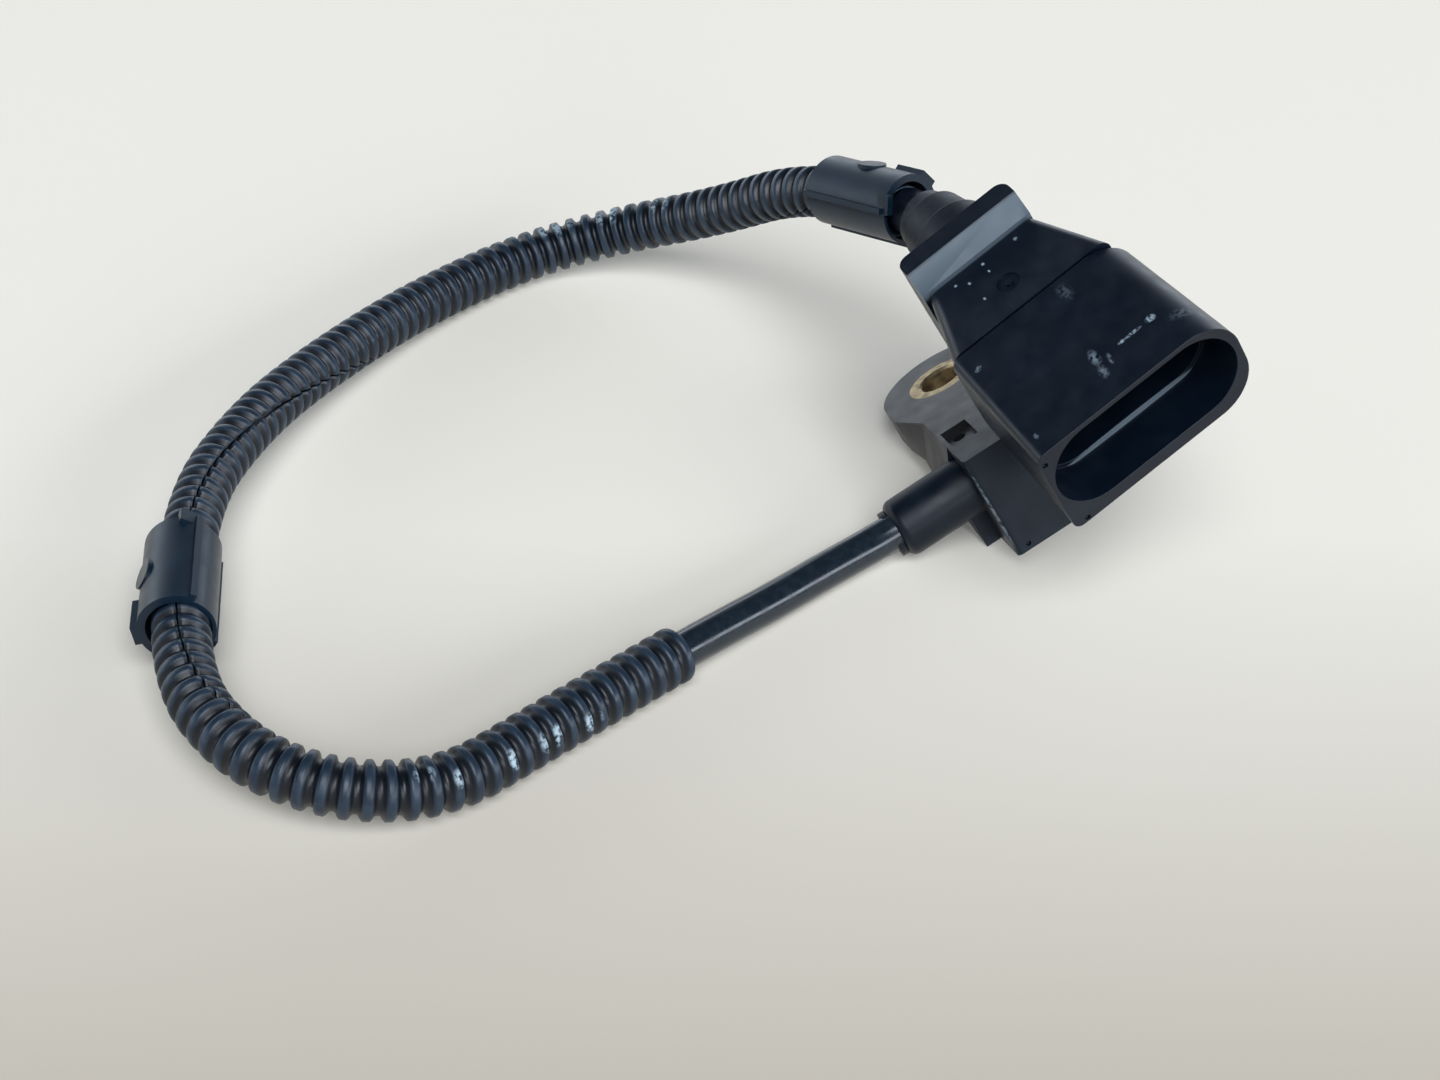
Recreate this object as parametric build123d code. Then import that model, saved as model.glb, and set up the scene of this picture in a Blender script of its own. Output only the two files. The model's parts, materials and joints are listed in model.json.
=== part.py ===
from build123d import *
import os
from math import radians, tan

# Camshaft position sensor: a moulded sensor head with a bolt ear and a brass bush, a round cable
# in a corrugated conduit with two harness clips, and a plug with an oval mouth that lies on the
# head. Millimetres, +Z up, the floor at z = 0, the origin on the floor under the sensor head.

# Sensor head, in its own frame: origin on the bolt axis in the top face, X towards the cable
# sleeve, Y towards the nose, Z out of the top face
EAR_RADIUS = 9.8
FLANGE_THICK = 5.5
EAR_SIDE_END = 5.3
NECK_END = 12.0
TOP_HALF_WIDTH = 6.85
BODY_HALF_WIDTH = 9.3
BODY_START = 10.5
BODY_START_DEPTH = 11.0
BODY_END = 24.5
BODY_END_DEPTH = 16.8
NOSE_START = 23.0
NOSE_END = 32.8
NOSE_DEPTH = 17.0
NOSE_ROUND = 0.8
BUSH_RADIUS = 5.35
BUSH_BORE_RADIUS = 3.3
BUSH_GROOVE = 0.5
BUSH_GROOVE_WIDTH = 1.6
BUSH_CHAMFER = 0.35
WINDOW_X = (2.05, 6.25)
WINDOW_Y = (19.3, 26.2)
WINDOW_DEPTH = 1.1
WINDOW_SLOT = 0.7
CORE_PIN_AT = (4.3, 21.5)
CORE_PIN_RADIUS = 1.0
CORE_PIN_DEPTH = 3.2
SLEEVE_RADIUS = 4.5
SLEEVE_SHOULDER = 1.5
SLEEVE_Y = 25.2
SLEEVE_Z = -6.5
SLEEVE_ROOT = 5.6
SLEEVE_END = 19.6
SLEEVE_LIP_RADIUS = 3.6
SLEEVE_LIP = 0.9
PIN_MARK_RADIUS = 0.42
PIN_MARK_DEPTH = 0.5
NOSE_PIN_MARK = (4.7, -16.0)

# Where the head lies: tipped over on its ear, with the sleeve side down
HEAD_AT = (5.67, 14.12, 10.18)
HEAD_HEADING = 164.8
HEAD_PITCH = 19.0
HEAD_ROLL = 29.5

# Electronics moulded into the head, same frame
CHIP_SIZE = (5.2, 3.8, 1.6)
CHIP_Y = 28.4
CHIP_BOTTOM = -16.1
MAGNET_SIZE = (6.0, 4.4, 5.0)
CARRIER_SIZE = (8.0, 4.8, 2.4)
LEAD_Y = 25.2
LEAD_WIDTH = 0.8
LEAD_THICK = 0.4
LEAD_PITCH = 1.9
CORE_RADIUS = 0.7
CORE_PITCH = 1.6
JACKET_END = 7.6

# Cable, conduit and clips, with stations measured along the route from the plug
CABLE_RADIUS = 2.7
CONDUIT_RADIUS = 4.0
CONDUIT_ROOT_RADIUS = 3.4
CONDUIT_BORE_RADIUS = 3.1
CONDUIT_START = 28.0
CONDUIT_END = 317.5
RIB_PITCH = 5.2
CLIP_LENGTH = 17.4
CLIP_RADIUS = 5.6
CLIP_UNDER_RADIUS = 5.0
CLIP_BORE_RADIUS = 4.45
CLIP_BEAD_RADIUS = 6.1
CLIP_BEAD_WIDTH = 0.9
CLIP_TONGUE = (1.0, 3.0, 1.2)
CLIP_RAIL_TURN = 128.0
CLIP_RAIL_RADIUS = 6.3
CLIP_RAIL_WIDTH = 3.0
CLIP_BOSS_RADIUS = 2.2
CLIP_BOSS_HEIGHT = 0.2
CLIP_NEAR_START = 27.1
CLIP_NEAR_LIP = (-0.96, -0.20, 0.21)
CLIP_MID_START = 206.6
CLIP_MID_LIP = (0.44, -0.16, 0.88)
FOOT_WIDTH = 6.0
FOOT_LENGTH = 12.0

# Plug, in its own frame: origin in the middle of the mouth's top edge, X to the side that points
# down, Y out of the mouth, Z out of the top face
MOUTH_WIDTH = 31.8
MOUTH_HEIGHT = 16.4
REAR_WIDTH = 29.8
REAR_HEIGHT = 15.0
SHROUD_LENGTH = 23.7
CORNER_RADIUS = 1.4
ROUND_END_RADIUS = 6.4
CAVITY_X = 0.2
CAVITY_Z = -7.5
CAVITY_WIDTH = 30.0
CAVITY_HEIGHT = 13.4
CAVITY_LEDGE = 0.7
LEDGE_DEPTH = 7.8
CAVITY_DEPTH = 18.7
GROOVE_WIDTH = 0.45
GROOVE_DEPTH = 0.9
MOUTH_PIN_MARKS = [(15.1, -2.0), (13.7, -15.7)]
COVER_X = 0.8
COVER_FRONT = (27.4, 14.2)
COVER_REAR = (18.6, 12.6)
COVER_REAR_TOP = -0.8
COVER_LENGTH = 14.25
COVER_CORNER = 1.8
BAR_X = 1.1
BAR_WIDTH = 19.4
BAR_TOP = 2.6
BAR_BOTTOM = -14.6
BAR_THICK = 5.2
BAR_FACET_RUN = 1.9
BAR_ROUND = 1.8
GATE_MARK_RADIUS = 1.8
GATE_MARK_DEPTH = 0.7
GATE_STUB_RADIUS = 0.55
GATE_MARK_AT = (0.9, -29.6)
BLADE_PITCH = 6.2
BLADE_WIDTH = 2.3
BLADE_THICK = 0.8
BLADE_TIP = 10.0
BLADE_END = 29.0
LOCK_SIZE = (19.0, 3.0, 8.0)
PLUG_CABLE_X = 0.33
PLUG_CABLE_Z = -7.27
PLUG_CABLE_END = 34.9
PLUG_AT = (2.04, -36.54, 41.2)
PLUG_HEADING = 180.0
PLUG_ROLL = 31.0

# The boot's round outline: stations on the route, each with the radius there
BOOT_OUTLINE = [
    (8.66, 7.0),
    (15.5, 6.6),
    (15.9, 5.9),
    (20.6, 5.5),
    (21.0, 4.8),
    (23.4, 4.5),
    (23.8, 3.6),
    (27.7, 3.5),
]

# The cable's route from inside the plug to inside the sleeve, chosen by hand on its centre line
ROUTE = [
    (5.5, -1.6, 34.8),
    (5.5, 23.5, 34.8),
    (-0.8, 47.4, 27.6),
    (-7.6, 64.8, 14.9),
    (-19.0, 77.2, 7.4),
    (-35.6, 81.0, 4.0),
    (-58.7, 72.5, 4.5),
    (-80.2, 58.5, 6.5),
    (-93.7, 47.0, 8.0),
    (-107.2, 31.5, 8.5),
    (-120.2, -3.5, 8.5),
    (-117.7, -21.0, 8.0),
    (-108.2, -31.5, 6.5),
    (-94.7, -34.5, 4.5),
    (-79.2, -29.0, 4.0),
    (-62.2, -24.0, 4.3),
    (-49.2, -19.5, 3.6),
    (-38.2, -16.0, 3.0),
    (-28.7, -13.0, 3.0),
    (-15.2, -10.0, 3.95),
    (-4.7, -10.9, 9.5),
]


def place_head(shape):
    """Turn and move a piece from the head's own frame to where the head lies."""
    turn = Rot(0, 0, HEAD_HEADING) * Rot(HEAD_PITCH, 0, 0) * Rot(0, HEAD_ROLL, 0)
    return Pos(*HEAD_AT) * turn * shape


def place_plug(shape):
    """Turn and move a piece from the plug's own frame to where the plug lies."""
    return Pos(*PLUG_AT) * Rot(0, 0, PLUG_HEADING) * Rot(0, PLUG_ROLL, 0) * shape


def bend_radii(points):
    """The arc radius at each corner: as large as the two runs beside it allow."""
    radii = []
    for before, corner, after in zip(points, points[1:], points[2:]):
        run_in = Vector(*corner) - Vector(*before)
        run_out = Vector(*after) - Vector(*corner)
        half_turn = radians(run_in.get_angle(run_out)) / 2
        radii.append(0.45 * min(run_in.length, run_out.length) / tan(half_turn))
    return radii


def cable_route():
    """The cable's centre line: straight runs joined by tangent arcs."""
    radii = bend_radii(ROUTE)
    print("cord radii", [round(radius, 1) for radius in radii])
    return FilletPolyline(*ROUTE, radius=radii)


def along(route, radius):
    """A solid tube along the whole route."""
    section = Plane(origin=route @ 0, z_dir=route % 0)
    return sweep(section * Circle(radius), path=route)


def turned(route, outline):
    """A solid with round sections along the route; the outline holds stations and radii."""
    rings = []
    for station, radius in outline:
        share = station / route.length
        rings.append(Plane(origin=route @ share, z_dir=route % share) * Circle(radius))
    return loft(rings, ruled=True)


def flat_block(width, length, height, at):
    """A box centred on x, y and z."""
    return Pos(*at) * Box(width, length, height)


def mirrored_outline(points):
    """A face on both sides of the Y axis, from the points of its +X side."""
    other_side = [(-x, y) for x, y in reversed(points)]
    return make_face(Polyline(*points, *other_side, close=True))


def ear_and_neck():
    """The flange: a round ear, then a neck whose sides slope in towards the top face."""
    ear = Pos(0, 0, -FLANGE_THICK / 2) * Cylinder(EAR_RADIUS, FLANGE_THICK)
    middle = (0, EAR_SIDE_END / 2, -FLANGE_THICK / 2)
    straight = flat_block(2 * EAR_RADIUS, EAR_SIDE_END, FLANGE_THICK, middle)
    low = [(EAR_RADIUS, EAR_SIDE_END), (BODY_HALF_WIDTH, NECK_END), (BODY_HALF_WIDTH, BODY_END)]
    high = [(EAR_RADIUS, EAR_SIDE_END), (TOP_HALF_WIDTH, NECK_END), (TOP_HALF_WIDTH, BODY_END)]
    sloped = loft([Pos(0, 0, -FLANGE_THICK) * mirrored_outline(low), mirrored_outline(high)], ruled=True)
    return ear + straight + sloped


def body_block():
    """The deep part of the body: its underside rises from the nose to the flange."""
    side = [
        (BODY_START, -FLANGE_THICK),
        (BODY_START, -BODY_START_DEPTH),
        (BODY_END, -BODY_END_DEPTH),
        (BODY_END, -FLANGE_THICK),
    ]
    profile = make_face(Plane.YZ * Polyline(*side, close=True))
    return extrude(profile, amount=BODY_HALF_WIDTH, both=True)


def nose_block():
    """The narrow sensing nose, with rounded upright edges."""
    length = NOSE_END - NOSE_START
    centre = (0, NOSE_START + length / 2, -NOSE_DEPTH / 2)
    block = flat_block(2 * TOP_HALF_WIDTH, length, NOSE_DEPTH, centre)
    front_edges = block.edges().filter_by(Axis.Z).group_by(Axis.Y)[-1]
    return fillet(front_edges, NOSE_ROUND) - pin_mark(NOSE_PIN_MARK[0], NOSE_END, NOSE_PIN_MARK[1])


def window_pocket():
    """The shallow window in the top face, with the core pin's hole and a slot at its near edge."""
    width = WINDOW_X[1] - WINDOW_X[0]
    length = WINDOW_Y[1] - WINDOW_Y[0]
    middle = ((WINDOW_X[0] + WINDOW_X[1]) / 2, (WINDOW_Y[0] + WINDOW_Y[1]) / 2)
    pocket = flat_block(width, length, 2 * WINDOW_DEPTH, (*middle, 0))
    hole = Pos(*CORE_PIN_AT, 0) * Cylinder(CORE_PIN_RADIUS, 2 * CORE_PIN_DEPTH)
    slot = flat_block(width, WINDOW_SLOT, 4 * WINDOW_DEPTH, (middle[0], WINDOW_Y[1] - WINDOW_SLOT / 2, 0))
    return pocket + hole + slot


def bush_groove():
    """The groove round the bush that the moulding fills, so that the bush can't slide out."""
    ring = Cylinder(BUSH_RADIUS, BUSH_GROOVE_WIDTH)
    ring -= Cylinder(BUSH_RADIUS - BUSH_GROOVE, BUSH_GROOVE_WIDTH)
    return Pos(0, 0, -FLANGE_THICK / 2) * ring


def bolt_bush():
    """The brass bush in the ear: a groove round the outside, and chamfered bore mouths."""
    bush = Pos(0, 0, -FLANGE_THICK / 2) * Cylinder(BUSH_RADIUS, FLANGE_THICK)
    bush -= bush_groove()
    bush -= Pos(0, 0, -FLANGE_THICK / 2) * Cylinder(BUSH_BORE_RADIUS, FLANGE_THICK)
    bore_rims = [
        edge
        for edge in bush.edges().filter_by(GeomType.CIRCLE)
        if abs(edge.radius - BUSH_BORE_RADIUS) < 0.01
    ]
    return chamfer(bore_rims, BUSH_CHAMFER)


def cable_sleeve():
    """The moulded sleeve where the cable enters the head, with a rounded end."""
    length = SLEEVE_END - SLEEVE_ROOT
    sleeve = Cylinder(SLEEVE_RADIUS, length)
    sleeve = fillet(sleeve.edges().sort_by(Axis.Z)[-1], SLEEVE_SHOULDER)
    sleeve += Pos(0, 0, (length + SLEEVE_LIP) / 2) * Cylinder(SLEEVE_LIP_RADIUS, SLEEVE_LIP)
    middle = (SLEEVE_ROOT + SLEEVE_END) / 2
    return Pos(middle, SLEEVE_Y, SLEEVE_Z) * Rot(0, 90, 0) * sleeve


def pin_mark(x, y, z):
    """The small round mark that an ejector pin leaves in a face square to Y."""
    return Pos(x, y, z) * Rot(90, 0, 0) * Cylinder(PIN_MARK_RADIUS, 2 * PIN_MARK_DEPTH)


def hall_chip():
    """The sensing chip, lying just inside the nose's lower face."""
    return flat_block(*CHIP_SIZE, (0, CHIP_Y, CHIP_BOTTOM + CHIP_SIZE[2] / 2))


def bias_magnet():
    """The magnet that backs the chip."""
    return flat_block(*MAGNET_SIZE, (0, CHIP_Y, CHIP_BOTTOM + CHIP_SIZE[2] + MAGNET_SIZE[2] / 2))


def chip_carrier():
    """The small block that seats the magnet."""
    bottom = CHIP_BOTTOM + CHIP_SIZE[2] + MAGNET_SIZE[2]
    return flat_block(*CARRIER_SIZE, (0, CHIP_Y, bottom + CARRIER_SIZE[2] / 2))


def lead_place(number):
    """The x of a lead and the z of the core that joins it; number runs from -1 to 1."""
    return -number * LEAD_PITCH, SLEEVE_Z + number * CORE_PITCH


def chip_lead(number):
    """A lead from the chip's rear face, bent up to its core."""
    x, top = lead_place(number)
    foot_z = CHIP_BOTTOM + CHIP_SIZE[2] / 2
    foot_end = CHIP_Y - CHIP_SIZE[1] / 2
    foot_start = LEAD_Y - LEAD_THICK / 2
    foot_length = foot_end - foot_start
    foot = flat_block(LEAD_WIDTH, foot_length, LEAD_THICK, (x, foot_start + foot_length / 2, foot_z))
    height = top + CORE_RADIUS - foot_z
    post = flat_block(LEAD_WIDTH, LEAD_THICK, height, (x, LEAD_Y, foot_z + height / 2))
    return foot + post


def head_core(number):
    """A wire core from the cable's end to its lead."""
    x, z = lead_place(number)
    start = x + LEAD_WIDTH / 2
    length = JACKET_END + CORE_RADIUS - start
    return Pos(start + length / 2, SLEEVE_Y, z) * Rot(0, 90, 0) * Cylinder(CORE_RADIUS, length)


def stadium(width, height, inset=0.0):
    """The cavity's outline: a slot with fully round ends."""
    outline = SlotOverall(width - 2 * inset, height - 2 * inset)
    return Plane.XZ * Pos(CAVITY_X, CAVITY_Z) * outline


def shroud_section(width, height, back):
    """The shroud's outline at one station: small corners on one side, large ones on the other."""
    outline = Pos(0, -height / 2) * Rectangle(width, height)
    sharp = outline.vertices().group_by(Axis.X)[-1]
    outline = fillet(sharp, CORNER_RADIUS)
    round_end = outline.vertices().group_by(Axis.X)[0]
    outline = fillet(round_end, ROUND_END_RADIUS)
    return Plane(origin=(0, -back, 0), x_dir=(1, 0, 0), z_dir=(0, -1, 0)) * outline


def plug_housing():
    """The shroud with its oval mouth, a ledge all round, and the rear wall that holds the blades."""
    mouth = shroud_section(MOUTH_WIDTH, MOUTH_HEIGHT, 0)
    rear = shroud_section(REAR_WIDTH, REAR_HEIGHT, SHROUD_LENGTH)
    shroud = loft([mouth, rear], ruled=True)
    shroud -= extrude(stadium(CAVITY_WIDTH, CAVITY_HEIGHT), amount=LEDGE_DEPTH, both=True)
    shroud -= extrude(stadium(CAVITY_WIDTH, CAVITY_HEIGHT, CAVITY_LEDGE), amount=CAVITY_DEPTH, both=True)
    for x, z in MOUTH_PIN_MARKS:
        shroud -= pin_mark(x, 0, z)
    return shroud


def plug_rear_cover():
    """The tapered cover behind the groove, its neck on the shroud, and the bar on its rear end."""
    front_y = -SHROUD_LENGTH - GROOVE_WIDTH
    rear_y = front_y - COVER_LENGTH
    front = cover_section(COVER_FRONT, 0, front_y)
    rear = cover_section(COVER_REAR, COVER_REAR_TOP, rear_y)
    cover = loft([front, rear], ruled=True)
    neck_size = (COVER_FRONT[0] - 2 * GROOVE_DEPTH, COVER_FRONT[1] - 2 * GROOVE_DEPTH)
    cover += extrude(cover_section(neck_size, -GROOVE_DEPTH, front_y), amount=-GROOVE_WIDTH)
    cover += rear_bar(rear_y)
    gate_mark = Cylinder(GATE_MARK_RADIUS, 2 * GATE_MARK_DEPTH)
    gate_mark -= Cylinder(GATE_STUB_RADIUS, 2 * GATE_MARK_DEPTH)
    return cover - Pos(*GATE_MARK_AT, 0) * gate_mark


def rear_bar(front_y):
    """The bar across the rear end: a flat top, and a facet that slopes down to the cover."""
    back_y = front_y - BAR_THICK
    side = [
        (front_y, BAR_BOTTOM),
        (front_y, COVER_REAR_TOP),
        (front_y - BAR_FACET_RUN, BAR_TOP),
        (back_y, BAR_TOP),
        (back_y, BAR_BOTTOM),
    ]
    profile = make_face(Plane.YZ * Polyline(*side, close=True))
    bar = extrude(profile, amount=BAR_WIDTH / 2, both=True)
    back_edges = bar.edges().filter_by(Axis.Z).group_by(Axis.Y)[0]
    return Pos(BAR_X, 0, 0) * fillet(back_edges, BAR_ROUND)


def cover_section(size, top, y):
    """A rounded rectangle of the rear cover, square to the plug's axis."""
    outline = Pos(COVER_X, top - size[1] / 2) * RectangleRounded(*size, COVER_CORNER)
    return Plane(origin=(0, y, 0), x_dir=(1, 0, 0), z_dir=(0, -1, 0)) * outline


def contact_blade(number):
    """A contact blade with a tapered tip, from the cavity into the rear cover."""
    length = BLADE_END - BLADE_TIP
    centre = (PLUG_CABLE_X + number * BLADE_PITCH, -BLADE_TIP - length / 2, PLUG_CABLE_Z)
    blade = flat_block(BLADE_WIDTH, length, BLADE_THICK, centre)
    tip = blade.faces().sort_by(Axis.Y)[-1]
    return chamfer(tip.edges(), BLADE_THICK / 4)


def contact_lock():
    """The insert behind the shroud that holds the three blades at their pitch."""
    front = SHROUD_LENGTH + GROOVE_WIDTH
    return flat_block(*LOCK_SIZE, (PLUG_CABLE_X, -front - LOCK_SIZE[1] / 2, PLUG_CABLE_Z))


def plug_core(number):
    """A wire core from the cable's end, spread out to its blade."""
    start = Vector(PLUG_CABLE_X + number * CORE_PITCH, -PLUG_CABLE_END - CORE_RADIUS, PLUG_CABLE_Z)
    end = Vector(PLUG_CABLE_X + number * BLADE_PITCH, -BLADE_END + CORE_RADIUS, PLUG_CABLE_Z)
    path = Line(start, end)
    return sweep(Plane(origin=path @ 0, z_dir=path % 0) * Circle(CORE_RADIUS), path=path)


def conduit(route):
    """The corrugated conduit: crests and valleys by turns, round a plain bore."""
    count = 2 * round((CONDUIT_END - CONDUIT_START) / RIB_PITCH)
    step = (CONDUIT_END - CONDUIT_START) / count
    stations = [CONDUIT_START + number * step for number in range(count + 1)]
    crests = [(station, CONDUIT_RADIUS) for station in stations[::2]]
    valleys = [(station, CONDUIT_ROOT_RADIUS) for station in stations[1::2]]
    bore = [(station, CONDUIT_BORE_RADIUS) for station in stations[::2]]
    return turned(route, sorted(crests + valleys)) - turned(route, bore)


def clip_wall():
    """The clip's wall, square to its axis: over a quarter of the round one lip lies lower."""
    quarter = Pos(CLIP_RADIUS, -CLIP_RADIUS) * Rectangle(2 * CLIP_RADIUS, 2 * CLIP_RADIUS)
    step = (Circle(CLIP_RADIUS) - Circle(CLIP_UNDER_RADIUS)) & quarter
    return extrude(Circle(CLIP_RADIUS) - step, amount=CLIP_LENGTH / 2, both=True)


def harness_clip(route, start, lip_side, rail_end):
    """A clip round the conduit: a beaded lip along it, a tongue, a hinge rail and a round boss."""
    first = route @ (start / route.length)
    last = route @ ((start + CLIP_LENGTH) / route.length)
    frame = Plane(origin=(first + last) / 2, x_dir=lip_side, z_dir=last - first)
    clip = clip_wall()
    bead_middle = (CLIP_BEAD_RADIUS / 2, CLIP_BEAD_WIDTH / 2, 0)
    clip += flat_block(CLIP_BEAD_RADIUS, CLIP_BEAD_WIDTH, CLIP_LENGTH, bead_middle)
    thick, width, reach = CLIP_TONGUE
    tongue_middle = (CLIP_UNDER_RADIUS, width / 2, -CLIP_LENGTH / 2)
    clip += flat_block(thick, width, 2 * reach, tongue_middle)
    rail_middle = (CLIP_RAIL_RADIUS / 2, 0, rail_end * CLIP_LENGTH / 3)
    rail = flat_block(CLIP_RAIL_RADIUS, CLIP_RAIL_WIDTH, CLIP_LENGTH / 3, rail_middle)
    clip += Rot(0, 0, CLIP_RAIL_TURN) * rail
    boss_top = CLIP_RADIUS + CLIP_BOSS_HEIGHT
    clip += Rot(-90, 0, 0) * Pos(0, 0, boss_top / 2) * Cylinder(CLIP_BOSS_RADIUS, boss_top)
    return frame.location * (clip - Cylinder(CLIP_BORE_RADIUS, 2 * CLIP_LENGTH))


def clip_foot(route, start):
    """The foot under the middle clip, down to the floor."""
    station = (start + CLIP_LENGTH / 2) / route.length
    middle = route @ station
    height = middle.Z - (CLIP_RADIUS + CLIP_BORE_RADIUS) / 2
    frame = Plane(origin=(middle.X, middle.Y, height / 2), x_dir=route % station, z_dir=(0, 0, 1))
    return frame.location * Box(FOOT_LENGTH, FOOT_WIDTH, height)


def main():
    os.makedirs("parts", exist_ok=True)
    route = cable_route()
    print("cord length", round(route.length, 1))

    # Cable, conduit and clips
    cable = along(route, CABLE_RADIUS)
    pieces = {"cable_jacket": cable}
    pieces["conduit"] = conduit(route)
    pieces["clip_near_plug"] = harness_clip(route, CLIP_NEAR_START, CLIP_NEAR_LIP, -1)
    clip_mid = harness_clip(route, CLIP_MID_START, CLIP_MID_LIP, 1)
    pieces["clip_mid"] = clip_mid + clip_foot(route, CLIP_MID_START)

    # Sensor head
    pieces["bolt_bush"] = place_head(bolt_bush())
    pieces["hall_chip"] = place_head(hall_chip())
    pieces["bias_magnet"] = place_head(bias_magnet())
    pieces["chip_carrier"] = place_head(chip_carrier())
    inner = [pieces[name] for name in ("hall_chip", "bias_magnet", "chip_carrier")]
    for count, number in enumerate((-1, 0, 1), start=1):
        lead = place_head(chip_lead(number))
        core = place_head(head_core(number)) - cable
        pieces["chip_lead_" + str(count)] = lead
        pieces["head_core_" + str(count)] = core
        inner += [lead, core]
    sleeve = place_head(cable_sleeve())
    housing = ear_and_neck() + body_block() + nose_block()
    housing -= window_pocket()
    housing -= Pos(0, 0, -FLANGE_THICK / 2) * Cylinder(BUSH_RADIUS, FLANGE_THICK)
    housing = place_head(housing + bush_groove()) - sleeve - cable
    for piece in inner:
        housing -= piece
        sleeve -= piece
    pieces["sensor_housing"] = housing
    pieces["cable_sleeve"] = sleeve - cable

    # Plug
    lock = place_plug(contact_lock())
    shroud = place_plug(plug_housing())
    cover = place_plug(plug_rear_cover()) - cable
    for count, number in enumerate((-1, 0, 1), start=1):
        blade = place_plug(contact_blade(number))
        core = place_plug(plug_core(number)) - blade - cable
        pieces["blade_" + str(count)] = blade
        pieces["plug_core_" + str(count)] = core
        lock -= blade
        shroud -= blade
        cover = cover - blade - core
    pieces["contact_lock"] = lock
    pieces["plug_housing"] = shroud
    pieces["plug_rear_cover"] = cover - place_plug(contact_lock())
    pieces["cable_boot"] = turned(route, BOOT_OUTLINE) - cable

    for name, shape in pieces.items():
        export_step(shape, "parts/" + name + ".step")


main()
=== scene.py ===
"""Camshaft position sensor: its finishes, its cable and the ribbed conduit, set up for a render.

The sensor head lies on a pale floor with its plug on top of it, and the cable makes one loop
round to the head through a split, corrugated conduit that carries two harness clips.
Lengths in this file are metres unless a name ends in _mm.
"""

from __future__ import annotations

import json
import logging
import math
from dataclasses import dataclass
from enum import Enum

import bmesh
import bpy
from mathutils import Matrix, Vector

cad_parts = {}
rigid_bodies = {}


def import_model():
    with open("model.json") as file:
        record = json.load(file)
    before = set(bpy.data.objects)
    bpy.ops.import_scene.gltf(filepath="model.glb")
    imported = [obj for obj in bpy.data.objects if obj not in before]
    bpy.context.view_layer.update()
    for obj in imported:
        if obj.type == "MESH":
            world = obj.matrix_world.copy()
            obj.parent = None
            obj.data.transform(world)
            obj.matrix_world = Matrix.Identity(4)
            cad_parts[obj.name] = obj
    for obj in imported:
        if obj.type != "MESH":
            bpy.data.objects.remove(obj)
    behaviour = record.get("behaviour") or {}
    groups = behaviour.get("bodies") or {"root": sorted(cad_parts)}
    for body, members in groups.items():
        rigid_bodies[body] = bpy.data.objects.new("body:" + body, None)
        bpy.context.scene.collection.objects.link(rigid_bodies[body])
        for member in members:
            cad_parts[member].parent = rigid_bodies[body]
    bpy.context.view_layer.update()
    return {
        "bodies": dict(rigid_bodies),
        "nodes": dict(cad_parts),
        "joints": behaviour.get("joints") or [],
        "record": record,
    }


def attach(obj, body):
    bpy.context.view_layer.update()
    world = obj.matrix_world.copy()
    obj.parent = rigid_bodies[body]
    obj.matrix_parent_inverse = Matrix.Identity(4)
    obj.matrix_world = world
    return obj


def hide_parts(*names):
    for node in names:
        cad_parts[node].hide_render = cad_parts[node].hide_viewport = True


MM = 0.001
LOG = logging.getLogger("sensor")

# The conduit's attribute for how far each place stands out, from 0 in a valley to 1 on a crest
RIB_HEIGHT = "rib_height"

# The cable's route, from inside the plug to inside the sleeve, as the solids have it
ROUTE = (
    (0.0055, -0.0016, 0.0348),
    (0.0055, 0.0235, 0.0348),
    (-0.0008, 0.0474, 0.0276),
    (-0.0076, 0.0648, 0.0149),
    (-0.019, 0.0772, 0.0074),
    (-0.0356, 0.081, 0.004),
    (-0.0587, 0.0725, 0.0045),
    (-0.0802, 0.0585, 0.0065),
    (-0.0937, 0.047, 0.008),
    (-0.1072, 0.0315, 0.0085),
    (-0.1202, -0.0035, 0.0085),
    (-0.1177, -0.021, 0.008),
    (-0.1082, -0.0315, 0.0065),
    (-0.0947, -0.0345, 0.0045),
    (-0.0792, -0.029, 0.004),
    (-0.0622, -0.024, 0.0043),
    (-0.0492, -0.0195, 0.0036),
    (-0.0382, -0.016, 0.003),
    (-0.0287, -0.013, 0.003),
    (-0.0152, -0.01, 0.00395),
    (-0.0047, -0.0109, 0.0095),
)


class Slot(Enum):
    """The named slots, one for each kind of piece."""

    HOUSING = "housing_plastic"
    BUSH = "bush_brass"
    SLEEVE = "sleeve_plastic"
    PLUG = "plug_plastic"
    COVER = "cover_plastic"
    BOOT = "boot_rubber"
    BLADE = "blade_tin"
    CLIP = "clip_plastic"
    JACKET = "jacket"
    CONDUIT = "conduit_plastic"


def linear(hex_code: str) -> tuple[float, float, float, float]:
    """Turn an sRGB hex colour into linear values.

    Args:
        hex_code: Six hex digits, without a hash sign.

    Returns:
        Linear red, green and blue, and an alpha of 1.
    """
    parts = [int(hex_code[start : start + 2], 16) / 255 for start in (0, 2, 4)]
    values = [c / 12.92 if c <= 0.04045 else ((c + 0.055) / 1.055) ** 2.4 for c in parts]
    return (values[0], values[1], values[2], 1.0)


def add_node(
    tree: bpy.types.NodeTree,
    kind: str,
    inputs: dict[str | int, object] | None = None,
    **settings: object,
) -> bpy.types.Node:
    """Add a node, set it and link it.

    Args:
        tree: The tree that gets the node.
        kind: The node's type name.
        inputs: Values or output sockets for its inputs, by name or number.
        settings: Properties of the node.

    Returns:
        The new node.
    """
    made = tree.nodes.new(kind)
    for name, value in settings.items():
        setattr(made, name, value)
    for key, value in (inputs or {}).items():
        if isinstance(value, bpy.types.NodeSocket):
            tree.links.new(value, made.inputs[key])
        else:
            made.inputs[key].default_value = value
    return made


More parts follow.
